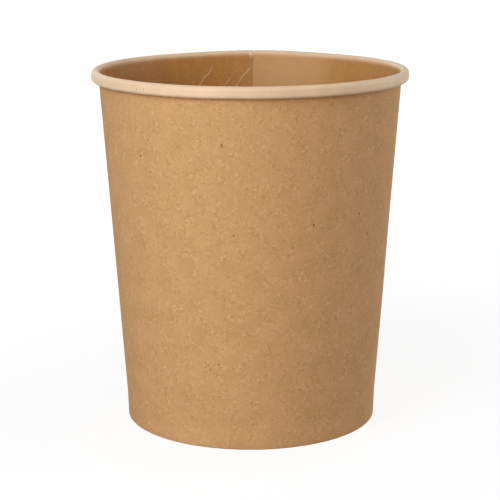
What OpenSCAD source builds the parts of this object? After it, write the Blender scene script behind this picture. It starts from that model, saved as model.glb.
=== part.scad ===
// Paper soup cup, in millimetres. A board blank is wrapped into a cone and lapped at its side seam.
// Its top edge is rolled outwards into the rim, and its bottom edge is folded in and up round the
// skirt of the bottom disc. The cup stands on z = 0, its axis is Z, and its side seam is at +Y.

/* [Cup] */
// Height from the table to the top of the rim
cup_h = 132; // [80:1:170]
// Diameter over the rolled rim
rim_d = 117; // [104:0.5:140]
// Outside diameter at the foot
foot_d = 94; // [76:0.5:104]
// Height of the cup's floor above the table
floor_h = 9.5; // [8.5:0.5:16]

/* [Board] */
// Thickness of the side wall's board
wall_t = 0.45; // [0.3:0.05:0.6]
// Thickness of the bottom disc's board
disc_t = 0.45; // [0.3:0.05:0.6]
// Film of melted coating on each face of the disc's skirt
seal_t = 0.02; // [0.01:0.01:0.05]

/* [Rolled rim] */
// Outer radius of the roll's turn over the top
curl_r = 1.5; // [1.2:0.05:2]
// Height of the roll
curl_h = 4.3; // [3.6:0.1:6]
// Space between the roll's tucked edge and the wall
tuck_gap = 0.1; // [0.05:0.05:0.3]
// How far the tucked edge stands up inside the roll
tuck_h = 0.5; // [0.2:0.1:1]

/* [Side seam] */
// Width of the lap, measured round the wall at half height
lap_w = 8; // [4:0.5:14]
// How far the two plies of the lap are pressed into each other
lap_press = 0.05; // [0.02:0.01:0.1]

/* [Foot] */
// How far the wall leans out between the foot and the cup's floor
foot_lean = 0.3; // [0:0.05:1]
// How high the folded edge reaches inside the foot
fold_h = 7.5; // [4:0.5:8]
// Inside radius of the two bends that fold the wall under the skirt
fold_r = 0.1; // [0.05:0.05:0.15]
// Space between the edge of the disc's skirt and the fold below it
skirt_gap = 0.3; // [0.1:0.1:1]
// Outer radius of the bend between the disc and its skirt
disc_bend_r = 1; // [0.7:0.1:1.5]

/* [Hidden] */
$fn = 180;

kraft = [0.76, 0.6, 0.43];
kraft_inside = [0.66, 0.47, 0.3];

half_turn = 180;
seam_angle = 90;
steps_per_mm = 1000;

// Heights
bend_top = wall_t + fold_r;
curl_z = cup_h - curl_r;
curl_foot = cup_h - curl_h;

// Radii of the wall's inner face at the foot, at the floor and where the roll begins
foot_in = foot_d / 2 - wall_t;
floor_in = foot_in + foot_lean;
top_in = rim_d / 2 - 2 * curl_r;

// The roll's lower turn is smaller, so that the edge comes up clear of the wall
tuck_r = curl_r - (wall_t + tuck_gap) / 2;
tuck_z = curl_foot + tuck_r;

// The skirt and its two films fill the fold
fold_gap = disc_t + 2 * seal_t;

// The lap's outer ply stands this far outside its inner ply
lap_step = wall_t - lap_press;
lap_angle = lap_w / ((floor_in + top_in) / 2) * 180 / PI;

// A length to the nearest thousandth, so that the corners that two shapes share are the same
function exact(v) = round(v * steps_per_mm) / steps_per_mm;

// The value a share of the way from one value to another
function between(low, high, share) = low + (high - low) * share;

// Radius of the wall's inner face at a height
function wall_in(z) = exact(z < floor_h
    ? between(foot_in, floor_in, (z - bend_top) / (floor_h - bend_top))
    : between(floor_in, top_in, (z - floor_h) / (curl_z - floor_h)));

// A straight run of board between heights, with its inner face set back from the wall's inner face
module run(heights, set_back, t) {
    up = [for (z = heights) [wall_in(z) - set_back, z]];
    down = [for (i = [len(heights) - 1 : -1 : 0]) [wall_in(heights[i]) - set_back + t, heights[i]]];
    polygon(concat(up, down));
}

// A bend in board of thickness t: the part of a ring that lies between two corners, in radii
module bend(centre, r, t, low, high) {
    translate(centre) intersection() {
        difference() {
            circle(r);
            circle(r - t);
        }
        translate(low * r) square((high - low) * r);
    }
}

// A straight piece between two corners
module block(low, high) {
    translate(low) square(high - low);
}

// The fold under the skirt: the inner arm, two bends and the flat that stands on the table
module fold_section() {
    r = wall_t + fold_r;
    inner_x = foot_in - fold_gap + fold_r;
    outer_x = foot_in - fold_r;
    run([bend_top, fold_h], fold_gap + wall_t, wall_t);
    bend([inner_x, bend_top], r, wall_t, [-1, -1], [0, 0]);
    block([inner_x, 0], [outer_x, wall_t]);
    bend([outer_x, bend_top], r, wall_t, [0, -1], [1, 0]);
}

// The roll: over the top, down the outside, back under and up to the tucked edge
module curl_section() {
    rim_r = rim_d / 2;
    tuck_x = rim_r - 2 * tuck_r;
    bend([rim_r - curl_r, curl_z], curl_r, wall_t, [-1, 0], [1, 1]);
    block([rim_r - wall_t, tuck_z], [rim_r, curl_z]);
    bend([rim_r - tuck_r, tuck_z], tuck_r, wall_t, [-1, -1], [1, 0]);
    block([tuck_x, tuck_z], [tuck_x + wall_t, tuck_z + tuck_h]);
}

// The side wall's whole section, from the fold up to the roll
module wall_section() {
    fold_section();
    run([bend_top, floor_h, curl_z], 0, wall_t);
    curl_section();
}

// The bottom disc's section, from its middle out to the bend and down the skirt
module disc_section() {
    bend_z = floor_h - disc_bend_r;
    bend_x = wall_in(bend_z) - seal_t - disc_bend_r;
    block([0, floor_h - disc_t], [bend_x, floor_h]);
    bend([bend_x, bend_z], disc_bend_r, disc_t, [0, 0], [1, 1]);
    run([bend_top + skirt_gap, bend_z], seal_t + disc_t, disc_t);
}

// The half turn that starts at the seam with the inner ply, about the axis
module inner_half() {
    rotate_extrude(angle = half_turn, start = seam_angle) children();
}

// The half turn that comes back to the seam one step further out, about a point half a step back
module outer_half() {
    translate([0, lap_step / 2, 0])
        rotate_extrude(angle = half_turn, start = seam_angle - half_turn)
            translate([lap_step / 2, 0]) children();
}

// The outer ply where it runs on over the inner one, from the fold up to the roll
module lap() {
    rotate_extrude(angle = lap_angle, start = seam_angle)
        translate([lap_step, 0]) run([bend_top, floor_h, curl_foot], 0, wall_t);
}

// The wrapped board, with its lapped seam, rolled rim and folded foot
module side_wall() {
    color(kraft) {
        inner_half() wall_section();
        outer_half() wall_section();
        lap();
    }
}

// The drawn disc, whose skirt is pressed against the lapped wall and follows its step at the seam
module bottom_disc() {
    color(kraft_inside) {
        inner_half() disc_section();
        outer_half() disc_section();
        // The middle, which both halves turn round
        rotate_extrude() intersection() {
            disc_section();
            block([0, 0], [disc_bend_r, floor_h]);
        }
    }
}

side_wall();
bottom_disc();
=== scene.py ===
"""Paper soup cup in brown kraft board, dressed over its packed frame.

The side wall is one fan-shaped blank, wrapped into a cone and lapped at the seam. Its foot is folded
in round the skirt of the bottom disc, and its top is rolled outwards into the rim. Both pieces are
made here as thin closed sheets, so the cut edges, the lap, the folds and the creases are real shape.
"""

import math

import bpy
import numpy as np
from mathutils import Matrix, Vector


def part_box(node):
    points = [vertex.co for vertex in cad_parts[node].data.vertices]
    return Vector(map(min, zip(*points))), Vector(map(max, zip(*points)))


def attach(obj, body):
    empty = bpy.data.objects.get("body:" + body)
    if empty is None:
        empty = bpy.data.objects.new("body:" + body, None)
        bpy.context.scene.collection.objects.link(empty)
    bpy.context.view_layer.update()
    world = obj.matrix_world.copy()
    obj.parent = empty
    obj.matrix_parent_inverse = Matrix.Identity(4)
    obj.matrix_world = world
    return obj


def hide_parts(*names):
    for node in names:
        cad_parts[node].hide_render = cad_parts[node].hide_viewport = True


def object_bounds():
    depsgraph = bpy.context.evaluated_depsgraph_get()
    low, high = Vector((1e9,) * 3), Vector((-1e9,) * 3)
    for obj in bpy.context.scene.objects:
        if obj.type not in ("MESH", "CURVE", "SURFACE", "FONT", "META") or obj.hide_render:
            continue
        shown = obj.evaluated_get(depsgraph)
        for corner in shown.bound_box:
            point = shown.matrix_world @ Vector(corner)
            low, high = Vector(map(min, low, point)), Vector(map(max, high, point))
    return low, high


bl_info = {
    "name": "Paper soup cup",
    "version": (1, 0, 0),
    "blender": (4, 5, 0),
    "location": "3D view > Sidebar > Soup cup",
    "description": "Builds the board pieces of a kraft paper soup cup and a plain studio round them",
    "category": "Object",
}

MM = 0.001
FULL_TURN = 2 * math.pi

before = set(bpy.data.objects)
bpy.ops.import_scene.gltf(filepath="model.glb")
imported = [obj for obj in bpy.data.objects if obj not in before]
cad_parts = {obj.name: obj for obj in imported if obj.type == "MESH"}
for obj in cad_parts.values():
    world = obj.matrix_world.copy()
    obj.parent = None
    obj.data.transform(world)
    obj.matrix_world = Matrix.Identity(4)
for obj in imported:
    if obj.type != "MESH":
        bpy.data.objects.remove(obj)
CAD_LOW, CAD_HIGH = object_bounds()
WALL_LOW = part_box("side_wall")[0]
DISC_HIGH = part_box("bottom_disc")[1]


def screen_colour(red, green, blue):
    """A colour picked on a screen, 0 to 255, as the linear values that a shader takes."""
    level = np.array([red, green, blue]) / 255
    linear = np.where(level <= 0.04045, level / 12.92, ((level + 0.055) / 1.055) ** 2.4)
    return tuple(float(v) for v in linear)


def length(name, description, millimetres):
    """A size that a user can change, kept in metres."""
    return bpy.props.FloatProperty(
        name=name,
        description=description,
        default=millimetres * MM,
        min=0,
        precision=5,
        unit="LENGTH",
        subtype="DISTANCE",
    )


def colour(name, description, red, green, blue):
    """A board colour that a user can change, given as picked on a screen."""
    return bpy.props.FloatVectorProperty(
        name=name,
        description=description,
        default=screen_colour(red, green, blue),
        min=0,
        max=1,
        size=3,
        subtype="COLOR",
    )


def share(name, description, default):
    """A plain share or strength that a user can change."""
    return bpy.props.FloatProperty(
        name=name, description=description, default=default, min=0, max=1, subtype="FACTOR"
    )


class SoupCupSizes(bpy.types.PropertyGroup):
    """Sizes of the wrapped wall and the drawn disc."""

    height: length("Height", "From the table to the top of the rim", CAD_HIGH.z / MM)
    rim_radius: length("Rim radius", "Over the roll", -WALL_LOW.x / MM)
    foot_radius: length("Foot radius", "Outside the fold", 47)
    floor_height: length("Floor height", "Top of the bottom disc", DISC_HIGH.z / MM)
    board: length("Board", "Thickness of the board", 0.45)
    foot_lean: length("Foot lean", "How far the wall leans out below the floor", 0.3)
    roll_radius: length("Roll radius", "Radius of the roll's turn over the top", 1.5)
    roll_height: length("Roll height", "Height of the roll", 4.3)
    roll_tuck: length("Tucked edge", "How far the edge comes up inside the roll", 1.7)
    roll_gap: length("Roll gap", "Between the tucked edge and the wall", 0.1)
    fold_height: length("Fold height", "How high the folded edge reaches in the foot", 7.5)
    fold_pocket: length("Fold pocket", "Space in the fold that holds the skirt", 0.49)
    lap_width: length("Lap width", "Width of the glued lap at the seam", 8)
    skirt_low: length("Skirt height", "Lower edge of the disc's skirt", 1.0)
    disc_bend: length("Disc bend", "Radius of the bend round the bottom disc", 1.0)


class SoupCupFinish(bpy.types.PropertyGroup):
    """Colours and wear of the board."""

    kraft: colour("Kraft", "Bare kraft on the outside", 220, 170, 118)
    kraft_yellow: colour("Kraft clouds", "Yellower clouds in the bare kraft", 214, 166, 111)
    coated: colour("Coated kraft", "Kraft under its film, inside the cup", 187, 129, 67)
    # Painted sheen inside the cup right of the seam: a painted reflection of the key light, and further
    # round painted light on the lit side of the inner wall
    painted_sheen: colour("Painted sheen", "Painted sheen and painted light right of the seam inside", 218, 172, 117)
    rolled: colour("Rolled rim", "Film stretched pale over the roll", 244, 213, 177)
    core: colour("Cut edge", "Fibres in the cut edges of the board", 214, 184, 146)
    fleck: colour("Pale flecks", "Pale fibres in the kraft", 236, 200, 152)
    deep: colour("Dark fibres", "Browner fibres in the kraft", 160, 98, 50)
    speck: colour("Dark specks", "Bark specks in the kraft", 92, 58, 28)
    fibre_strength: share("Fibres", "How strongly the fibres show", 0.42)
    cloud_strength: share("Clouds", "How strongly the clouds show", 0.24)
    crease_depth: length("Crease depth", "Height of the creases inside the wall", 0.12)


class SoupCupStage(bpy.types.PropertyGroup):
    """Light of the studio, as shares of a colour's full level."""

    ambient: share("Ambient", "Light from all round", 0.17)
    key: share("Key light", "Large soft light at the front left", 0.56)
    front: share("Front light", "Low warm light at the front", 0.34)
    side: share("Side light", "Low light on the right, a little behind", 0.45)
    back: share("Back light", "Weak light behind on the left", 0.12)


GROUP_NAMES = {
    "soup_cup_sizes": SoupCupSizes,
    "soup_cup_finish": SoupCupFinish,
    "soup_cup_stage": SoupCupStage,
}


def smooth_step(low, high, value):
    """0 below low and 1 above high, with a soft S between: 3t^2 - 2t^3."""
    t = np.clip((value - low) / (high - low), 0, 1)
    return t * t * (3 - 2 * t)


def rounded_path(corners, radii, arc_steps, line_steps):
    """A path of straights and arcs in the plane, with the unit normals on its right.

    At each inner corner the path turns by an angle t on an arc of radius r. The arc starts
    r * tan(t / 2) before the corner, and its centre lies r to the inner side of the start.
    Returns the points, the normals, and the length along the path of each point.
    """
    corners = np.asarray(corners, float)
    steps = np.diff(corners, axis=0)
    ways = steps / np.linalg.norm(steps, axis=1)[:, None]
    points, normals, begin = [corners[:1]], [right_of(ways[:1])], corners[0]
    for i, radius in enumerate(radii):
        way, after, corner = ways[i], ways[i + 1], corners[i + 1]
        turn = math.atan2(way[0] * after[1] - way[1] * after[0], way @ after)
        start = corner - way * radius * math.tan(abs(turn) / 2)
        side = math.copysign(radius, turn) * -right_of(way)
        angles = np.linspace(0, turn, arc_steps[i] + 1)
        arc = start + side + turned(-side, angles)
        points += [straight(begin, start, line_steps[i]), arc]
        normals += [np.tile(right_of(way), (line_steps[i] - 1, 1)), turned(right_of(way), angles)]
        begin = arc[-1]
    points += [straight(begin, corners[-1], line_steps[-1]), corners[-1:]]
    normals += [np.tile(right_of(ways[-1]), (line_steps[-1], 1))]
    points, normals = np.concatenate(points), np.concatenate(normals)
    lengths = np.concatenate([[0], np.cumsum(np.linalg.norm(np.diff(points, axis=0), axis=1))])
    return points, normals, lengths


def right_of(way):
    """The direction a quarter turn to the right of a direction, or of each in a row of them."""
    return np.stack([way[..., 1], -way[..., 0]], axis=-1)


def turned(way, angles):
    """A vector turned to the left by each angle."""
    c, s = np.cos(angles), np.sin(angles)
    return np.stack([way[0] * c - way[1] * s, way[0] * s + way[1] * c], axis=-1)


def straight(start, end, steps):
    """The points that divide a straight in equal steps, without its two ends."""
    return start + (end - start) * (np.arange(1, steps) / steps)[:, None]


def slow_waves(angles, place, unevenness, shift=0):
    """Unevenness round the cup: its height times the mean of a few sines, which is shifted first.

    Each sine has a whole number of waves and a chance phase, so the mean lies within 1. The whole
    grows from nothing to full between the two places that the unevenness names.
    """
    height, waves, seed, start, full = unevenness
    phases = np.random.default_rng(seed).uniform(0, FULL_TURN, len(waves))
    mean = np.sin(np.multiply.outer(angles, np.array(waves)) + phases).mean(axis=-1)
    return smooth_step(start, full, place) * (height * (mean + shift))


def closed_sheet(front, back, wrap):
    """Vertices and faces of a thin sheet between two grids of points, rows round by columns along.

    Each row's ring runs along the front face and home along the back face, and rings of
    neighbouring rows are joined by four-cornered faces. Where the sheet doesn't wrap, its first
    and last rings are closed by strips. Returns points, faces and each face's side:
    0 front, 1 back, 2 cut edge.
    """
    rows, columns = front.shape[:2]
    ring = 2 * columns
    points = np.concatenate([front, back[:, ::-1]], axis=1).reshape(-1, 3)
    row = np.arange(rows if wrap else rows - 1)[:, None]
    place = np.arange(ring)[None, :]
    here, there = row * ring, (row + 1) % rows * ring
    along = (place + 1) % ring
    faces = np.stack([here + place, here + along, there + along, there + place], axis=-1).reshape(-1, 4)
    side_of_place = np.where(place < columns - 1, 0, 1)
    side_of_place[0, [columns - 1, ring - 1]] = 2
    sides = np.broadcast_to(side_of_place, (len(row), ring)).ravel()
    if not wrap:
        step = np.arange(columns - 1)
        strip = np.stack([step, ring - 1 - step, ring - 2 - step, step + 1], axis=-1)
        faces = np.concatenate([faces, strip, (strip + (rows - 1) * ring)[:, ::-1]])
        sides = np.concatenate([sides, np.full(2 * len(strip), 2)])
    return points, faces, sides


def volume_of(points, faces):
    """Six times the signed volume inside four-cornered faces, positive when they face outwards."""
    a, b, c, d = (points[faces[:, i]] for i in range(4))
    return np.einsum("ij,ij->", a, np.cross(b, c)) + np.einsum("ij,ij->", a, np.cross(c, d))


def make_piece(name, sheet, uv, attributes, materials, node):
    """A mesh object from a closed sheet, riding on the cup's body in place of its CAD node."""
    points, faces, sides = sheet
    if volume_of(points, faces) < 0:
        faces = faces[:, ::-1]
    mesh = bpy.data.meshes.new(name)
    mesh.from_pydata(points, [], faces.tolist())
    for made in materials:
        mesh.materials.append(made)
    mesh.polygons.foreach_set("material_index", sides.astype(np.int32))
    mesh.polygons.foreach_set("use_smooth", np.ones(len(faces), bool))
    mesh.set_sharp_from_angle(angle=SHARP_FROM)
    corner = np.empty(len(mesh.loops), np.int32)
    mesh.loops.foreach_get("vertex_index", corner)
    mesh.uv_layers.new(name="Blank").data.foreach_set("uv", uv[corner].astype(np.float32).ravel())
    for label, values in attributes.items():
        vector = values.ndim == 2
        kept = mesh.attributes.new(label, "FLOAT_VECTOR" if vector else "FLOAT", "POINT")
        kept.data.foreach_set("vector" if vector else "value", values.astype(np.float32).ravel())
    mesh.validate()
    piece = bpy.data.objects.new(name, mesh)
    bpy.context.scene.collection.objects.link(piece)
    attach(piece, "root")
    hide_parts(node)
    return piece


# Edges that bend more sharply than this are shaded as creases
SHARP_FROM = math.radians(40)

# In all that follows, angles round the cup start at the seam, and heights at the table. The wall's
# points lie close together above this height, and from the seam to this angle
CREASE_ROWS_LOW = 100 * MM
CREASE_ROWS_END = math.radians(29)

# The wall bends slightly where the cup's floor meets it
FLOOR_LEVEL_BEND = 6 * MM

# The fold: its two turns, the share of the wall's lean that its arm takes, the heights between which
# its lift over the ply below fades out, and the way over which its arm comes home before the seam
FOLD_TURN = 0.1 * MM
FOLD_LEAN = 0.8
FOLD_LIFT_FADE = (0.6 * MM, 5 * MM)
FOLD_HOME_RUN = 12 * MM

# The seam: the space between its plies, the angle over which the board steps out to the outer ply,
# and the fade on each side of the lap
SHEET_GAP = 0.01 * MM
STEP_RUN = math.radians(25)
SEAM_FADE = math.radians(12)

# The inner ply's edge is pressed thinner: by how much, how far in, and the heights where that grows
EDGE_THINNED = 0.22 * MM
EDGE_THIN_RUN = 1.6 * MM
EDGE_THIN_HEIGHTS = (12 * MM, 22 * MM)

# The roll over the seam: how far it rises, how far below the rim's top it has risen in full, the shift
# and spread of the rise, the share of the step that is pressed flat, and the angle before the seam
# over which the outer ply then dives under the inner one
SEAM_CROWN = 0.5 * MM
SEAM_CROWN_FULL = 1.2 * MM
SEAM_CROWN_SHIFT = math.radians(3)
SEAM_CROWN_SPREAD = math.radians(20)
SEAM_PRESSED_FLAT = 0.85
SEAM_DIVE = math.radians(0.8)

# The tucked edge makes room for two plies from this share of its way in
TUCK_SPREAD_FROM = 0.2

# A slight press on the right of the wall: depth, angle of its middle, spread, and heights where it grows
SIDE_PRESS = 0.2 * MM
SIDE_PRESS_MIDDLE = 0.75 * FULL_TURN
SIDE_PRESS_SPREAD = 0.75
SIDE_PRESS_HEIGHTS = (40 * MM, 75 * MM)

# The film turns pale where it is stretched over the roll: how long that takes, and how far below the
# roll it starts, with what is added to that beside the seam's edge and where this ends
STRETCH_RUN = 2.4 * MM
STRETCH_LOW = 0.4 * MM
STRETCH_LOW_AT_SEAM = 0.7 * MM
STRETCH_SEAM_SIDE = (0.8 * MM, 1.6 * MM)

# Painted sheen to the right of the seam fades in two steps: its part, and the two angles in degrees. The
# first step is a painted reflection of the key light, the second painted light on the lit side of the inner
# wall
PAINTED_SHEEN_FADES = ((0.72, 24, 41), (0.28, 70, 100))

# The disc: radius of the fan at its middle, space to the wall, points round it, how far it sags, and
# the way over which its skirt comes home before the seam
DISC_HUB = 1.5 * MM
DISC_CLEAR = 0.04 * MM
DISC_ROWS = 384
DISC_SAG = 0.3 * MM
DISC_HOME_RUN = 2.2 * MM

# Unevenness of the board: height, numbers of waves round the cup, the seed of their phases, and the
# two heights between which it grows, or on the disc two shares of the radius
WALL_WAVES = (0.07 * MM, (3, 5, 7), 4, 15 * MM, 60 * MM)
FOLD_PLEATS = (0.05 * MM, (34, 38), 8, 0.6 * MM, 3 * MM)
FOLD_EDGE = (0.25 * MM, (2, 5, 11, 17), 9, 5 * MM, 7 * MM)
RIM_WAVES = (0.05 * MM, (2, 9, 16, 27), 5, 120 * MM, 128 * MM)
DISC_GATHERS = (0.035 * MM, (52, 61), 3, 0.93, 0.99)

# Creases inside the wall: start and end as (round the wall to the left of the seam, below the rim)
# in millimetres, then the width of the mark and its strength
CREASES = (
    ((27.5, 17.0), (23.5, 10.8), 0.30, 0.5),
    ((22.6, 14.5), (19.6, 10.0), 0.42, 0.9),
    ((19.6, 10.0), (17.7, 8.5), 0.42, 1.0),
    ((17.7, 8.5), (16.5, 6.0), 0.40, 0.7),
    ((12.6, 15.0), (8.8, 10.5), 0.34, 0.7),
    ((8.8, 10.5), (6.8, 6.8), 0.30, 0.3),
    ((8.0, 16.0), (3.8, 9.8), 0.38, 0.8),
    ((3.8, 9.8), (0.7, 6.4), 0.42, 0.7),
)

# Dark marks on the outside: azimuth in degrees from the front, upper and lower end above the table and
# width in millimetres, and strength
BARK_MARKS = (
    (-9.3, 111.9, 111.0, 0.34, 0.85),
    (-39.6, 111.7, 111.4, 0.30, 0.5),
    (22.2, 22.1, 21.7, 0.30, 0.5),
    (58.7, 13.8, 13.4, 0.36, 0.6),
)

# Faint dark ticks on the roll, in the same terms: the first three are cracks across the roll, the last two
# are painted shade of small bumps near its lower edge
RIM_CRACKS_AND_BUMP_SHADE = (
    (-41.0, 129.8, 129.2, 0.22, 0.45),
    (-39.3, 129.8, 128.9, 0.20, 0.5),
    (-37.6, 130.0, 128.9, 0.20, 0.5),
    # These two are painted shade of small bumps near the roll's lower edge
    (66.0, 127.4, 127.2, 0.26, 0.35),
    (71.5, 126.8, 126.6, 0.26, 0.35),
)


def distance_to_line(across, depth, start, end):
    """Distance from each place on the wall to a straight between two places."""
    way = np.subtract(end, start)
    t = ((across - start[0]) * way[0] + (depth - start[1]) * way[1]) / (way @ way)
    held = np.clip(t, 0, 1)
    return np.hypot(across - start[0] - way[0] * held, depth - start[1] - way[1] * held)


def crease_ridge(across, depth):
    """Height, as a share, of the creases: the highest of the bells exp(-(distance / width)^2)."""
    height = np.zeros_like(across)
    for start, end, width, strength in CREASES:
        distance = distance_to_line(across, depth, start, end)
        height = np.maximum(height, strength * np.exp(-((distance / width) ** 2)))
    return height


def wall_path(s):
    """The wall's coated face as a path: up from the folded edge, round the skirt, up and over the roll."""
    foot_in = s.foot_radius - s.board
    floor_in = foot_in + s.foot_lean
    top_in = s.rim_radius - 2 * s.roll_radius
    fold_in = foot_in - s.fold_pocket
    roll_start = s.height - s.roll_radius
    slope = (top_in - floor_in) / (roll_start - s.floor_height)
    roll_low = s.height - s.roll_height
    tuck = top_in + s.board + s.roll_gap
    low_turn = (s.rim_radius - tuck) / 2
    corners = [
        (fold_in + s.foot_lean * FOLD_LEAN, s.fold_height),
        (fold_in, s.board),
        (foot_in, s.board),
        (floor_in, s.floor_height),
        (floor_in + slope * (CREASE_ROWS_LOW - s.floor_height), CREASE_ROWS_LOW),
        (floor_in + slope * (s.height - s.floor_height), s.height),
        (s.rim_radius, s.height),
        (s.rim_radius, roll_low),
        (tuck, roll_low),
        (tuck, roll_low + s.roll_tuck),
    ]
    # The last turn of each pair is a little tighter, so that a short straight is left between them
    roll_turns = [0.97 * s.roll_radius, s.roll_radius, low_turn, 0.98 * low_turn]
    radii = [FOLD_TURN, FOLD_TURN, FLOOR_LEVEL_BEND, 0, *roll_turns]
    arc_steps = [4, 4, 3, 0, 10, 10, 8, 8]
    line_steps = [5, 2, 5, 14, 72, 2, 2, 2, 2]
    return rounded_path(corners, radii, arc_steps, line_steps), foot_in, slope


def wall_angles(s, lap_angle):
    """Angles round the cup from the seam: close together at the creases, the seam and the lap."""
    spans = [(0, CREASE_ROWS_END, 92), (CREASE_ROWS_END, FULL_TURN - STEP_RUN, 186)]
    spans += [(FULL_TURN - STEP_RUN, FULL_TURN, 22), (FULL_TURN, FULL_TURN + lap_angle, 8)]
    parts = [np.linspace(low, high, steps, endpoint=False) for low, high, steps in spans]
    return np.concatenate([*parts, [spans[-1][1]]])


def seam_steps(s, angle, r, z):
    """How far the board steps out towards the seam, and how much thinner it is at its own edge.

    The step grows with the square of the angle over the last stretch before the seam, up to the
    thickness of the inner ply, on which the outer ply lies from there. The inner ply is pressed
    thinner towards its edge, above the fold.
    """
    pressed = EDGE_THINNED * smooth_step(*EDGE_THIN_HEIGHTS, z)
    own_thin, under_thin = (
        pressed * (1 - smooth_step(0, EDGE_THIN_RUN, np.maximum(from_edge, 0) * r))
        for from_edge in (angle, angle - FULL_TURN)
    )
    grown = np.clip((angle - FULL_TURN + STEP_RUN) / STEP_RUN, 0, 1) ** 2
    return (s.board + SHEET_GAP - under_thin) * grown, own_thin


def roll_over_seam(s, angle, z, step):
    """How far the roll rises near the seam: a bell exp(-(angle / spread)^2), and the step pressed flat."""
    from_middle = np.abs((angle % FULL_TURN + SEAM_CROWN_SHIFT + math.pi) % FULL_TURN - math.pi)
    crown = SEAM_CROWN * np.exp(-((from_middle / SEAM_CROWN_SPREAD) ** 2))
    before_dive = np.where(angle > FULL_TURN, 0, smooth_step(0, SEAM_DIVE, FULL_TURN - angle))
    in_roll = smooth_step(s.height - s.roll_height, s.height - SEAM_CROWN_FULL, z)
    return (crown + SEAM_PRESSED_FLAT * step * before_dive) * in_roll


def side_wall_surface(s, crease_depth):
    """The wrapped blank as two faces, angle by path, with the values that its materials read.

    A point is the path's point, moved along its normal by the seam's step. The fold is lifted by as
    much as the ply below it needs, and the tucked edge is spread where two plies lie in the roll.
    Slow waves, a slight press on the right and the creases are added.
    """
    (path, normal, along), foot_in, slope = wall_path(s)
    r, z = path[:, 0], path[:, 1]
    lap_angle = s.lap_width / ((s.foot_radius + s.rim_radius) / 2 - s.board)
    angle = wall_angles(s, lap_angle)[:, None]
    turn = angle % FULL_TURN
    step, own_thin = seam_steps(s, angle, r, z)

    on_wall = np.arange(len(r)) < np.argmax(z)
    below_roll = np.arange(len(r)) > np.argmax(r) + 1
    in_fold = np.where(r < foot_in, 1, 1 - smooth_step(*FOLD_LIFT_FADE, z))
    on_arm = np.clip((foot_in - r) / s.fold_pocket, 0, 1)
    before_lap_end = (s.board + SHEET_GAP) * (1 - smooth_step(lap_angle, lap_angle + SEAM_FADE, angle))
    lift = np.where(angle > math.pi, step, before_lap_end) * in_fold
    arm_back = 2 * step * smooth_step(0, FOLD_HOME_RUN / s.foot_radius, FULL_TURN - angle) * on_arm
    from_lap = np.abs((angle - lap_angle / 2 + math.pi) % FULL_TURN - math.pi) - lap_angle / 2
    spread = (s.board + 2 * SHEET_GAP + s.roll_gap / 2) * (1 - smooth_step(0, SEAM_FADE, from_lap))
    tuck_share = (s.rim_radius - r) / (s.rim_radius - r[-1])
    tucked = np.where(below_roll, smooth_step(TUCK_SPREAD_FROM, 1, tuck_share), 0)

    across, depth = angle * r, s.height - z
    creases = crease_depth * crease_ridge(across / MM, depth / MM + 0 * angle) * on_wall
    press = np.exp(-(((turn - SIDE_PRESS_MIDDLE) / SIDE_PRESS_SPREAD) ** 2))
    press = SIDE_PRESS * (smooth_step(*SIDE_PRESS_HEIGHTS, z) * press)
    waves = slow_waves(turn, z, WALL_WAVES) + on_arm * slow_waves(turn, z, FOLD_PLEATS)
    uneven_edges = on_arm * slow_waves(turn, z, FOLD_EDGE) + slow_waves(turn, z, RIM_WAVES, -1)

    out = step * normal[:, 0] + spread * tucked + arm_back + waves - creases - press
    up = step * normal[:, 1] + lift + uneven_edges + roll_over_seam(s, angle, z, step)
    face = np.stack([r + out, z + up], axis=-1)
    back = face + (s.board - own_thin)[..., None] * normal

    # The turn over the top starts 12 points before the roll's highest point
    from_roll = along - along[on_wall][-12]
    stretch_low = STRETCH_LOW + STRETCH_LOW_AT_SEAM * (1 - smooth_step(*STRETCH_SEAM_SIDE, across))
    values = {
        "stretched": smooth_step(0, STRETCH_RUN, from_roll + stretch_low),
        # Where the inner face carries painted sheen and painted light, right of the seam
        "painted_sheen": painted_sheen_band(angle) + 0 * across,
        "place": np.stack([across, depth + 0 * angle, 0 * across], axis=-1),
    }
    flat = flat_blank(angle, slope, r[on_wall][-1], along - along[on_wall][-1])
    return angle, face, back, flat, values


def painted_sheen_band(angle):
    """Share of painted sheen: full at the seam, and fading in steps to the right of it."""
    right_of_seam = np.degrees(FULL_TURN - angle)
    return 1 - sum(part * smooth_step(near, far, right_of_seam) for part, near, far in PAINTED_SHEEN_FADES)


def flat_blank(angle, slope, top_radius, past_top):
    """Places on the blank before it was wrapped: a fan round the point where the cone would end.

    A turn round the cup is a turn times the sine of the cone's half angle on the fan, and a place's
    distance from the fan's centre grows along the path.
    """
    opening = math.sin(math.atan(slope))
    fan_angle = (angle - math.pi) * opening + 0 * past_top
    reach = top_radius / opening + past_top
    return np.stack([reach * np.sin(fan_angle), reach * np.cos(fan_angle) - reach.mean()], axis=-1)


def around(angle, profile):
    """Radius and height at each angle from the seam as points, anticlockwise from +Y."""
    radius, height = profile[..., 0], profile[..., 1]
    return np.stack([-radius * np.sin(angle), radius * np.cos(angle), height], axis=-1)


def both_faces(values):
    """Values of the front face's points, repeated for the back face in the ring's order."""
    doubled = np.concatenate([values, values[:, ::-1]], axis=1)
    return doubled.reshape(-1, *values.shape[2:])


class SOUP_CUP_OT_side_wall(bpy.types.Operator):
    """Builds the wrapped, lapped, folded and rolled side wall"""

    bl_idname = "soup_cup.side_wall"
    bl_label = "Side wall"

    def execute(self, context):
        scene = context.scene
        crease_depth = scene.soup_cup_finish.crease_depth
        angle, face, back, flat, values = side_wall_surface(scene.soup_cup_sizes, crease_depth)
        make_piece(
            "side_wall_board",
            closed_sheet(around(angle, face), around(angle, back), wrap=False),
            both_faces(flat),
            {label: both_faces(value) for label, value in values.items()},
            board_materials(scene),
            "side_wall",
        )
        return {"FINISHED"}


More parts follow.
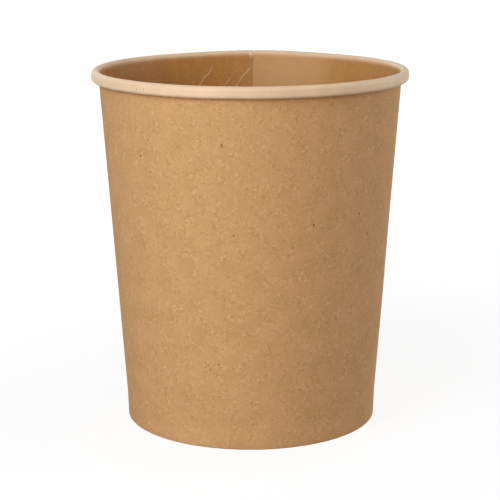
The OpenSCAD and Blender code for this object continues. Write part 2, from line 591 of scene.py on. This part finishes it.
def bottom_disc_surface(s):
    """The drawn disc as two faces, angle by path from the middle outwards and down the skirt.

    The path's radius follows the wall: it grows with the lap's step on the way to the seam and
    comes back over a short slope just before it. Fine gathers wave the bend, and the plate
    bulges down a little at its middle.
    """
    skirt_foot = s.foot_radius - s.board - DISC_CLEAR
    skirt_top = skirt_foot + s.foot_lean
    corners = [(DISC_HUB, s.floor_height), (skirt_top, s.floor_height), (skirt_foot, s.skirt_low)]
    path, normal, _ = rounded_path(corners, [s.disc_bend], [8], [26, 6])
    angle = np.linspace(0, FULL_TURN, DISC_ROWS, endpoint=False)[:, None]
    home = smooth_step(0, DISC_HOME_RUN / s.foot_radius, FULL_TURN - angle)
    step = (s.board + SHEET_GAP) * np.clip((angle - FULL_TURN + STEP_RUN) / STEP_RUN, 0, 1) ** 2 * home
    r, z = path[:, 0], path[:, 1]
    outer = r / skirt_top
    gathers = slow_waves(angle, outer, DISC_GATHERS, -1)
    sag = DISC_SAG * (1 - outer**2) * (z > s.floor_height - s.disc_bend)
    face = np.stack([r + step * outer**8 + gathers, z - sag + 0 * angle], axis=-1)
    back = face + s.board * normal
    return angle, face, back


class SOUP_CUP_OT_bottom_disc(bpy.types.Operator):
    """Builds the drawn bottom disc that sits in the folded foot"""

    bl_idname = "soup_cup.bottom_disc"
    bl_label = "Bottom disc"

    def execute(self, context):
        scene = context.scene
        angle, face, back = bottom_disc_surface(scene.soup_cup_sizes)
        sheet = closed_sheet(around(angle, face), around(angle, back), wrap=True)
        points, faces, sides = close_hub(*sheet, face, back)
        none = np.zeros(len(points))
        off_the_wall = np.full((len(points), 3), -1.0)
        make_piece(
            "bottom_disc_board",
            (points, faces, sides),
            points[:, :2],
            {"stretched": none, "painted_sheen": none, "place": off_the_wall},
            board_materials(scene),
            "bottom_disc",
        )
        return {"FINISHED"}


def close_hub(points, faces, sides, face, back):
    """Closes the disc's middle: a fan on each face, in place of the cut edge round the hub.

    Each face of a fan joins three neighbouring points of the hub to a point on the axis. A row's
    first point lies on the hub of the upper face, and its last point below that on the lower one.
    """
    rows, ring = len(face), 2 * face.shape[1]
    kept = np.arange(len(faces)) % ring != ring - 1
    centres = [[0, 0, face[0, 0, 1]], [0, 0, back[0, 0, 1]]]
    even = np.arange(0, rows, 2)
    upper = np.stack([even, even + 1, (even + 2) % rows], axis=-1) * ring
    lower = (upper + ring - 1)[:, ::-1]
    fans = [
        np.concatenate([np.full((len(even), 1), len(points) + side), hub], axis=1)
        for side, hub in enumerate((upper, lower))
    ]
    faces = np.concatenate([faces[kept], *fans])
    sides = np.concatenate([sides[kept], np.repeat([0, 1], len(even))])
    return np.concatenate([points, centres]), faces, sides


class Nodes:
    """Adds nodes to one tree and joins their sockets."""

    def __init__(self, tree):
        self.tree = tree
        self.count = 0

    def add(self, kind, inputs=(), **settings):
        """A node with its settings, and its inputs by name or number, from values or other sockets."""
        made = self.tree.nodes.new(kind)
        made.location = (220 * (self.count % 8), -260 * (self.count // 8))
        self.count += 1
        for name, value in settings.items():
            setattr(made, name, value)
        for key, value in dict(inputs).items():
            if isinstance(value, bpy.types.NodeSocket):
                self.join(value, made.inputs[key])
            else:
                made.inputs[key].default_value = value
        return made

    def join(self, output, given):
        """Joins a node's output to another node's input."""
        self.tree.links.new(output, given)

    def math(self, operation, *values):
        """The result of a Math node."""
        return self.add("ShaderNodeMath", enumerate(values), operation=operation).outputs[0]

    def vector_math(self, operation, *values):
        """The vector that comes out of a Vector Math node."""
        return self.add("ShaderNodeVectorMath", enumerate(values), operation=operation).outputs[0]

    def on_each_axis(self, value):
        """A vector with one value on all its axes."""
        return self.add("ShaderNodeCombineXYZ", {0: value, 1: value, 2: value}).outputs[0]

    def mix(self, factor, first, second, blend="MIX"):
        """Two colours mixed by a factor."""
        inputs = {0: factor, 6: first, 7: second}
        return self.add("ShaderNodeMix", inputs, data_type="RGBA", blend_type=blend).outputs[2]

    def noise(self, place, scale, detail, rough=0.5, curl=0.0):
        """A noise value about a half. Curl bends its shapes."""
        inputs = {"Vector": place, "Scale": scale, "Detail": detail, "Roughness": rough, "Distortion": curl}
        return self.add("ShaderNodeTexNoise", inputs).outputs[0]

    def bump(self, height, strength, distance):
        """The normal that a height gives, at a strength and over a distance."""
        inputs = {"Height": height, "Strength": strength, "Distance": distance}
        return self.add("ShaderNodeBump", inputs).outputs[0]

    def spread(self, value, low, high):
        """A value taken from between two levels to between 0 and 1, held at the ends."""
        inputs = {"Value": value, "From Min": low, "From Max": high}
        return self.add("ShaderNodeMapRange", inputs, clamp=True).outputs[0]

    def attribute(self, name, output="Fac"):
        """A value or vector kept at the mesh's points."""
        return self.add("ShaderNodeAttribute", attribute_name=name).outputs[output]

    def group(self, tree, inputs=()):
        """A node group placed in this tree."""
        return self.add("ShaderNodeGroup", inputs, node_tree=tree)


def new_group(name, inputs, outputs):
    """An empty node group with named sockets, its nodes, its input sockets and its output node."""
    tree = bpy.data.node_groups.new(name, "ShaderNodeTree")
    for label, kind, default in inputs:
        made = tree.interface.new_socket(name=label, in_out="INPUT", socket_type=kind)
        if default is not None:
            made.default_value = default
    for label in outputs:
        tree.interface.new_socket(name=label, in_out="OUTPUT", socket_type="NodeSocketFloat")
    nodes = Nodes(tree)
    return nodes, nodes.add("NodeGroupInput").outputs, nodes.add("NodeGroupOutput").inputs


def once(name, build):
    """A node group by name, built the first time that it is asked for."""
    return bpy.data.node_groups.get(name) or build(name)


# Fibres in the board: how wide a fibre curls, how far from the middle of its line it fades, and the
# levels of the second noise between which it ends
CURL_WIDTH = 1.3 * MM
FIBRE_EDGE = (0.02, 0.1)
FIBRE_ENDS = (0.47, 0.56)

# Pale and dark fibres: a shift that keeps the two patterns apart, and their share of the board
PALE_FIBRES = ((0.0, 0.0, 0.0), 0.56)
DARK_FIBRES = ((41.0, 17.0, 5.0), 0.5)

# Levels of the fibres at which their colour shows in full, where their strength is 1
PALE_LEVEL = 0.25
DARK_LEVEL = 0.5


def curled_fibres(name):
    """Short curled fibres: the places where a slow noise passes a half, broken up by a second noise."""
    inputs = [
        ("Place", "NodeSocketVector", None),
        ("Curl width", "NodeSocketFloat", CURL_WIDTH),
        ("Shift", "NodeSocketVector", None),
        ("Share", "NodeSocketFloat", 0.5),
    ]
    nodes, given, result = new_group(name, inputs, ["Mask"])
    place = nodes.vector_math("DIVIDE", given["Place"], nodes.on_each_axis(given["Curl width"]))
    place = nodes.vector_math("ADD", place, given["Shift"])
    bends = nodes.noise(place, scale=1.0, detail=1.0, curl=0.9)
    off_line = nodes.math("ABSOLUTE", nodes.math("SUBTRACT", bends, 0.5))
    line = nodes.math("SUBTRACT", 1.0, nodes.spread(off_line, *FIBRE_EDGE))
    breaks = nodes.noise(place, scale=0.8, detail=1.0)
    raised = nodes.math("ADD", breaks, nodes.math("SUBTRACT", given["Share"], 0.5))
    kept = nodes.spread(raised, *FIBRE_ENDS)
    nodes.join(nodes.math("MULTIPLY", line, kept), result["Mask"])
    return nodes.tree


def kraft_fibres(name):
    """Pale and dark fibres in patches, fine grain and wider clouds. All three outputs lie about 0."""
    inputs = [
        ("Place", "NodeSocketVector", None),
        ("Curl width", "NodeSocketFloat", CURL_WIDTH),
        ("Grain", "NodeSocketFloat", 0.45 * MM),
        ("Cloud width", "NodeSocketFloat", 7 * MM),
    ]
    nodes, given, result = new_group(name, inputs, ["Fibres", "Clouds", "Height"])
    near = nodes.vector_math("DIVIDE", given["Place"], nodes.on_each_axis(given["Grain"]))
    wide = nodes.vector_math("DIVIDE", given["Place"], nodes.on_each_axis(given["Cloud width"]))
    clouds = nodes.noise(wide, scale=1.0, detail=2.0, rough=0.55)
    grain = nodes.math("SUBTRACT", nodes.noise(near, scale=1.0, detail=2.0, rough=0.6), 0.5)
    curled = once("Curled fibres", curled_fibres)
    common = {"Place": given["Place"], "Curl width": given["Curl width"]}
    pale, dark = (
        nodes.group(curled, {**common, "Shift": shift, "Share": amount}).outputs[0]
        for shift, amount in (PALE_FIBRES, DARK_FIBRES)
    )
    patches = nodes.spread(nodes.noise(wide, scale=1.7, detail=1.0), 0.35, 0.62)
    both = nodes.math("SUBTRACT", pale, nodes.math("MULTIPLY", dark, 0.8))
    fibres = nodes.math("MULTIPLY", both, patches)
    nodes.join(nodes.math("MULTIPLY_ADD", fibres, 0.35, grain), result["Fibres"])
    nodes.join(nodes.math("SUBTRACT", clouds, 0.5), result["Clouds"])
    nodes.join(nodes.math("MULTIPLY_ADD", fibres, 0.5, grain), result["Height"])
    return nodes.tree


def specks(name):
    """Scattered specks: a share of the cells of a cell pattern hold one, as large as Size says."""
    inputs = [
        ("Place", "NodeSocketVector", None),
        ("Spacing", "NodeSocketFloat", 4 * MM),
        ("Size", "NodeSocketFloat", 0.3 * MM),
        ("Share", "NodeSocketFloat", 0.5),
        ("Length", "NodeSocketFloat", 1.0),
    ]
    nodes, given, result = new_group(name, inputs, ["Mask"])
    tall = nodes.math("MULTIPLY", given["Spacing"], given["Length"])
    cell = nodes.add("ShaderNodeCombineXYZ", {0: given["Spacing"], 1: tall, 2: given["Spacing"]}).outputs[0]
    place = nodes.vector_math("DIVIDE", given["Place"], cell)
    cells = nodes.add("ShaderNodeTexVoronoi", {"Vector": place, "Scale": 1.0})
    chance = nodes.add("ShaderNodeSeparateColor", {0: cells.outputs["Color"]}).outputs
    held = nodes.math("LESS_THAN", chance[0], given["Share"])
    size = nodes.math("DIVIDE", given["Size"], given["Spacing"])
    size = nodes.math("MULTIPLY", size, nodes.math("ADD", chance[1], 0.5))
    far = nodes.math("DIVIDE", cells.outputs["Distance"], size)
    mask = nodes.math("MULTIPLY", nodes.math("SUBTRACT", 1.0, nodes.spread(far, 0.55, 1.1)), held)
    nodes.join(mask, result["Mask"])
    return nodes.tree


def scored_line(name):
    """A thin straight mark between two places, soft over its width."""
    inputs = [
        ("Place", "NodeSocketVector", None),
        ("Start", "NodeSocketVector", None),
        ("End", "NodeSocketVector", None),
        ("Width", "NodeSocketFloat", 0.4 * MM),
    ]
    nodes, given, result = new_group(name, inputs, ["Mask"])
    from_start = nodes.vector_math("SUBTRACT", given["Place"], given["Start"])
    way = nodes.vector_math("SUBTRACT", given["End"], given["Start"])
    dots = [
        nodes.add("ShaderNodeVectorMath", {0: first, 1: way}, operation="DOT_PRODUCT").outputs["Value"]
        for first in (from_start, way)
    ]
    t = nodes.spread(nodes.math("DIVIDE", *dots), 0.0, 1.0)
    foot = nodes.add("ShaderNodeVectorMath", {0: way, "Scale": t}, operation="SCALE").outputs[0]
    gap = nodes.add("ShaderNodeVectorMath", {0: from_start, 1: foot}, operation="DISTANCE").outputs["Value"]
    mask = nodes.math("SUBTRACT", 1.0, nodes.spread(nodes.math("DIVIDE", gap, given["Width"]), 0.25, 1.1))
    nodes.join(mask, result["Mask"])
    return nodes.tree


def new_material(name):
    """A material with its nodes cleared down to a Principled shader and the output."""
    made = bpy.data.materials.new(name)
    made.use_nodes = True
    made.node_tree.nodes.clear()
    nodes = Nodes(made.node_tree)
    shader = nodes.add("ShaderNodeBsdfPrincipled")
    nodes.add("ShaderNodeOutputMaterial", {"Surface": shader.outputs[0]})
    return made, nodes, shader


def opaque(values):
    """A colour with its alpha."""
    return (*values, 1.0)


def grained(nodes, finish, base, place, strength):
    """A board colour with its pale and dark fibres and its clouds, and the groups' values."""
    fibres = nodes.group(once("Kraft fibres", kraft_fibres), {"Place": place}).outputs
    shade = nodes.math("MULTIPLY_ADD", fibres["Clouds"], finish.cloud_strength * strength, 1.0)
    base = nodes.mix(1.0, base, shade, "MULTIPLY")
    reach = finish.fibre_strength * strength
    pale = nodes.spread(fibres["Fibres"], 0.0, PALE_LEVEL / reach)
    dark = nodes.spread(nodes.math("MULTIPLY", fibres["Fibres"], -1.0), 0.0, DARK_LEVEL / reach)
    base = nodes.mix(pale, base, opaque(finish.fleck))
    return nodes.mix(dark, base, opaque(finish.deep)), fibres


PALE_FLECKS = {"Spacing": 2.2 * MM, "Size": 0.3 * MM, "Share": 0.35}
BARK_SPECKS = {"Spacing": 5.5 * MM, "Size": 0.34 * MM, "Share": 0.34, "Length": 1.4}


def flecked(nodes, finish, base, place, pale, dark):
    """A board colour with pale flecks and dark specks, each at its own strength."""
    group = once("Specks", specks)
    flecks = nodes.group(group, {"Place": place, **PALE_FLECKS}).outputs[0]
    bark = nodes.group(group, {"Place": place, **BARK_SPECKS}).outputs[0]
    base = nodes.mix(nodes.math("MULTIPLY", flecks, pale), base, opaque(finish.fleck))
    return nodes.mix(nodes.math("MULTIPLY", bark, dark), base, opaque(finish.speck))


def marked(nodes, marks, radius_at, height, ink, base):
    """A board colour with short upright marks, placed by azimuth and height on a face of given radius."""
    place = nodes.attribute("place", "Vector")
    line = once("Scored line", scored_line)
    for azimuth, top, low, width, strength in marks:
        across = (math.pi + math.radians(azimuth)) * radius_at(low * MM)
        ends = {"Start": (across, height - top * MM, 0), "End": (across, height - low * MM, 0)}
        mark = nodes.group(line, {"Place": place, **ends, "Width": width * MM}).outputs[0]
        base = nodes.mix(nodes.math("MULTIPLY", mark, strength), base, opaque(ink))
    return base


def wall_radius(s, height):
    """The inner radius of the wall's straight cone at a height."""
    low = s.foot_radius - s.board + s.foot_lean
    high = s.rim_radius - 2 * s.roll_radius
    share_up = (height - s.floor_height) / (s.height - s.roll_radius - s.floor_height)
    return low + (high - low) * share_up


def bare_board(name, scene):
    """Uncoated kraft: matt, fibrous and flecked."""
    s, finish = scene.soup_cup_sizes, scene.soup_cup_finish
    made, nodes, shader = new_material(name)
    place = nodes.add("ShaderNodeUVMap", uv_map="Blank").outputs[0]
    drift = nodes.spread(nodes.noise(place, scale=120.0, detail=2.0), 0.38, 0.62)
    base = nodes.mix(drift, opaque(finish.kraft), opaque(finish.kraft_yellow))
    base, fibres = grained(nodes, finish, base, place, strength=1.0)
    base = flecked(nodes, finish, base, place, pale=0.14, dark=0.8)
    base = marked(nodes, BARK_MARKS, lambda z: wall_radius(s, z), s.height, finish.speck, base)
    relief = nodes.bump(fibres["Height"], strength=0.35, distance=0.03 * MM)
    nodes.join(base, shader.inputs["Base Color"])
    nodes.join(relief, shader.inputs["Normal"])
    shader.inputs["Roughness"].default_value = 0.75
    shader.inputs["Specular IOR Level"].default_value = 0.2
    return made


# Scales of two patterns of the film, round and up the wall, for each metre
STREAKS = (260.0, 60.0, 0.0)
PULL_LINES = (260.0, 110.0, 0.0)


def crease_whitening_and_glints(nodes, place):
    """Strength of the pale marks along the creases: partly whitening of the stretched film, partly a
    painted highlight on the crease ridges.
    """
    marks = 0.0
    line = once("Scored line", scored_line)
    for start, end, width, strength in CREASES:
        ends = {"Start": (*(v * MM for v in start), 0), "End": (*(v * MM for v in end), 0)}
        mark = nodes.group(line, {"Place": place, **ends, "Width": width * MM}).outputs[0]
        marks = nodes.math("MAXIMUM", marks, nodes.math("MULTIPLY", mark, 0.4 * strength))
    return marks


def stretched_film(nodes, s, finish, place):
    """Colour of the film over the roll: pale, with fine pull lines, wider patches, a few cracks and painted
    shade of two small bumps.
    """
    drawn = nodes.vector_math("MULTIPLY", place, PULL_LINES)
    pull = nodes.noise(drawn, scale=1.0, detail=3.0, rough=0.6)
    patch = nodes.noise(place, scale=110.0, detail=1.0)
    shade = nodes.math("MULTIPLY_ADD", nodes.math("SUBTRACT", pull, 0.5), 0.14, 1.0)
    shade = nodes.math("MULTIPLY_ADD", nodes.math("SUBTRACT", patch, 0.5), 0.22, shade)
    film = nodes.mix(1.0, opaque(finish.rolled), shade, "MULTIPLY")
    # Dark ticks: cracks across the roll, and painted shade where the roll has small bumps
    return marked(nodes, RIM_CRACKS_AND_BUMP_SHADE, lambda z: s.rim_radius, s.height, finish.speck, film)


def coated_board(name, scene):
    """Kraft under a thin film: browner and smoother, with painted sheen and painted light right of the
    seam, and pale where rolled.
    """
    s, finish = scene.soup_cup_sizes, scene.soup_cup_finish
    made, nodes, shader = new_material(name)
    uv = nodes.add("ShaderNodeUVMap", uv_map="Blank").outputs[0]
    place = nodes.attribute("place", "Vector")
    streaks = nodes.noise(nodes.vector_math("MULTIPLY", place, STREAKS), scale=1.0, detail=2.0)
    streaked = nodes.math("MULTIPLY_ADD", nodes.math("SUBTRACT", streaks, 0.5), 0.35, 1.0)
    base = nodes.mix(1.0, opaque(finish.coated), streaked, "MULTIPLY")
    base, fibres = grained(nodes, finish, base, uv, strength=0.3)
    base = flecked(nodes, finish, base, uv, pale=0.03, dark=0.3)
    # Painted sheen: a painted reflection of the key light beside the seam, then painted light on the lit
    # right side of the inner wall
    painted_sheen = nodes.math("MULTIPLY", nodes.attribute("painted_sheen"), 0.6)
    base = nodes.mix(painted_sheen, base, opaque(finish.painted_sheen))
    # Pale crease marks: partly whitened film, partly painted highlight on the crease ridges
    base = nodes.mix(crease_whitening_and_glints(nodes, place), base, opaque(finish.rolled))
    base = nodes.mix(nodes.attribute("stretched"), base, stretched_film(nodes, s, finish, place))
    relief = nodes.bump(fibres["Height"], strength=0.15, distance=0.02 * MM)
    rough = nodes.math("MULTIPLY_ADD", fibres["Clouds"], 0.12, 0.45)
    nodes.join(base, shader.inputs["Base Color"])
    nodes.join(rough, shader.inputs["Roughness"])
    nodes.join(relief, shader.inputs["Normal"])
    shader.inputs["Specular IOR Level"].default_value = 0.25
    return made


def cut_board(name, scene):
    """Cut edges: paler, with many fibres."""
    finish = scene.soup_cup_finish
    made, nodes, shader = new_material(name)
    place = nodes.add("ShaderNodeTexCoord").outputs["Object"]
    base, _ = grained(nodes, finish, opaque(finish.core), place, strength=1.5)
    nodes.join(base, shader.inputs["Base Color"])
    shader.inputs["Roughness"].default_value = 0.95
    shader.inputs["Specular IOR Level"].default_value = 0.1
    return made


def board_materials(scene):
    """Materials of a sheet's front, back and cut edge, each built the first time it is asked for."""
    builders = {"coated_board": coated_board, "bare_board": bare_board, "cut_board": cut_board}
    return [bpy.data.materials.get(name) or build(name, scene) for name, build in builders.items()]


# The camera, fitted to the photograph: place, angles in radians, and lens in millimetres
CAMERA_DISTANCE = 601.16 * MM
CAMERA_SIDE = 1.82 * MM
CAMERA_HEIGHT = 200.09 * MM
CAMERA_PITCH = 0.2244
CAMERA_YAW = 0.00343
CAMERA_ROLL = -0.00233
CAMERA_TURN = math.radians(0.72)
CAMERA_LENS = 117.46
CAMERA_SENSOR = 36

# Softboxes, by the name of their level: azimuth from the front, elevation in degrees, and tint
SOFTBOX_DISTANCE = 0.9
SOFTBOX_SIZE = 0.6
SOFTBOXES = {
    "key": (-36, 27, (0.93, 1.0, 1.09)),
    "front": (-12, 11, (1.08, 0.92, 0.76)),
    "side": (104, 12, (1.0, 1.0, 1.0)),
    "back": (-150, 25, (1.0, 1.0, 1.0)),
}

# The floor: half its side, what it throws back on the cup, how much it is lit as seen, and how
# strongly it glows near the cup, up to full white between the two distances
FLOOR_HALF = 6.0
FLOOR_RETURN = (0.12, 0.09, 0.06)
FLOOR_LIT = (0.2, 0.2, 0.2)
FLOOR_GLOW = 0.86
FLOOR_GLOW_GROWS = (0.1, 0.5)
WHITE = (1, 1, 1, 1)


def add_camera():
    """The camera at the photograph's place: the seam shows a little right of the middle."""
    data = bpy.data.cameras.new("camera")
    data.lens = CAMERA_LENS
    data.sensor_width = CAMERA_SENSOR
    data.clip_start, data.clip_end = 0.05, 50
    camera = bpy.data.objects.new("camera", data)
    bpy.context.scene.collection.objects.link(camera)
    turn = Matrix.Rotation(CAMERA_TURN, 4, "Z")
    place = Matrix.Translation((CAMERA_SIDE, -CAMERA_DISTANCE, CAMERA_HEIGHT))
    look = Matrix.Rotation(CAMERA_YAW, 4, "Z") @ Matrix.Rotation(math.pi / 2 - CAMERA_PITCH, 4, "X")
    camera.matrix_world = turn @ place @ look @ Matrix.Rotation(CAMERA_ROLL, 4, "Z")
    bpy.context.scene.camera = camera


def add_softbox(name, level, azimuth, elevation, tint):
    """A square soft light that looks at the cup, by azimuth from the front and elevation in degrees.

    Its power, pi^2 * level * distance^2, lights a surface that faces it at that share of the
    surface's colour.
    """
    data = bpy.data.lights.new(name, "AREA")
    data.size = SOFTBOX_SIZE
    data.color = tint
    data.energy = math.pi**2 * level * SOFTBOX_DISTANCE**2
    lamp = bpy.data.objects.new(name, data)
    lamp.visible_camera = False
    bpy.context.scene.collection.objects.link(lamp)
    turn, rise = math.radians(azimuth), math.radians(elevation)
    away = Vector((math.sin(turn) * math.cos(rise), -math.cos(turn) * math.cos(rise), math.sin(rise)))
    lamp.location = away * SOFTBOX_DISTANCE + Vector((0, 0, CAD_HIGH.z / 2))
    lamp.rotation_euler = away.to_track_quat("Z", "Y").to_euler()


def seen_white(nodes):
    """1 for the rays that see the background directly, by reflection or through a surface."""
    path = nodes.add("ShaderNodeLightPath").outputs
    mirrored = nodes.math("MAXIMUM", path["Is Glossy Ray"], path["Is Transmission Ray"])
    return nodes.math("MAXIMUM", path["Is Camera Ray"], mirrored)


def add_world(ambient):
    """White as seen, and an even plain light for the rest."""
    world = bpy.data.worlds.new("studio")
    world.use_nodes = True
    world.node_tree.nodes.clear()
    nodes = Nodes(world.node_tree)
    white = nodes.add("ShaderNodeBackground", {"Color": WHITE, "Strength": 1.0}).outputs[0]
    plain = nodes.add("ShaderNodeBackground", {"Color": WHITE, "Strength": ambient}).outputs[0]
    mixed = nodes.add("ShaderNodeMixShader", {0: seen_white(nodes), 1: plain, 2: white}).outputs[0]
    nodes.add("ShaderNodeOutputWorld", {"Surface": mixed})
    bpy.context.scene.world = world


def add_floor():
    """A wide pale floor at the table's height: it looks white and keeps a faint shadow."""
    made = bpy.data.materials.new("studio_floor")
    made.use_nodes = True
    made.node_tree.nodes.clear()
    nodes = Nodes(made.node_tree)
    pale = nodes.add("ShaderNodeBsdfDiffuse", {"Color": opaque(FLOOR_RETURN)}).outputs[0]
    place = nodes.add("ShaderNodeTexCoord").outputs["Object"]
    away = nodes.add("ShaderNodeVectorMath", {0: place}, operation="LENGTH").outputs["Value"]
    far = nodes.spread(away, *FLOOR_GLOW_GROWS)
    level = nodes.math("MULTIPLY_ADD", far, 1 - FLOOR_GLOW, FLOOR_GLOW)
    shadowed = nodes.add("ShaderNodeBsdfDiffuse", {"Color": opaque(FLOOR_LIT)}).outputs[0]
    glow = nodes.add("ShaderNodeEmission", {"Color": WHITE, "Strength": level}).outputs[0]
    white = nodes.add("ShaderNodeAddShader", {0: shadowed, 1: glow}).outputs[0]
    mixed = nodes.add("ShaderNodeMixShader", {0: seen_white(nodes), 1: pale, 2: white}).outputs[0]
    nodes.add("ShaderNodeOutputMaterial", {"Surface": mixed})
    mesh = bpy.data.meshes.new("studio_floor")
    corners = [(x * FLOOR_HALF, y * FLOOR_HALF, 0) for x, y in ((-1, -1), (1, -1), (1, 1), (-1, 1))]
    mesh.from_pydata(corners, [], [(0, 1, 2, 3)])
    mesh.materials.append(made)
    floor = bpy.data.objects.new("studio_floor", mesh)
    bpy.context.scene.collection.objects.link(floor)


class SOUP_CUP_OT_stage(bpy.types.Operator):
    """Builds the camera, the floor and the plain soft light"""

    bl_idname = "soup_cup.stage"
    bl_label = "Stage"

    def execute(self, context):
        light = context.scene.soup_cup_stage
        add_camera()
        add_floor()
        add_world(light.ambient)
        for name, (azimuth, elevation, tint) in SOFTBOXES.items():
            add_softbox(name, getattr(light, name), azimuth, elevation, tint)
        context.scene.view_settings.view_transform = "Standard"
        return {"FINISHED"}


class SOUP_CUP_PT_parts(bpy.types.Panel):
    """Lists the cup's sizes, finish and light, and the operators that build them"""

    bl_idname = "SOUP_CUP_PT_parts"
    bl_label = "Paper soup cup"
    bl_space_type = "VIEW_3D"
    bl_region_type = "UI"
    bl_category = "Soup cup"

    def draw(self, context):
        for label, group in GROUP_NAMES.items():
            box = self.layout.box()
            box.label(text=group.__doc__)
            for name in group.__annotations__:
                box.prop(getattr(context.scene, label), name)
        for operator in OPERATORS:
            self.layout.operator(operator.bl_idname)


OPERATORS = (SOUP_CUP_OT_side_wall, SOUP_CUP_OT_bottom_disc, SOUP_CUP_OT_stage)
CLASSES = (*GROUP_NAMES.values(), *OPERATORS, SOUP_CUP_PT_parts)


def register():
    for made in CLASSES:
        bpy.utils.register_class(made)
    for name, group in GROUP_NAMES.items():
        setattr(bpy.types.Scene, name, bpy.props.PointerProperty(type=group))


def unregister():
    for name in GROUP_NAMES:
        delattr(bpy.types.Scene, name)
    for made in reversed(CLASSES):
        bpy.utils.unregister_class(made)


def main():
    """Builds the cup and its studio."""
    register()
    bpy.ops.soup_cup.side_wall()
    bpy.ops.soup_cup.bottom_disc()
    bpy.ops.soup_cup.stage()


if __name__ == "__main__":
    main()
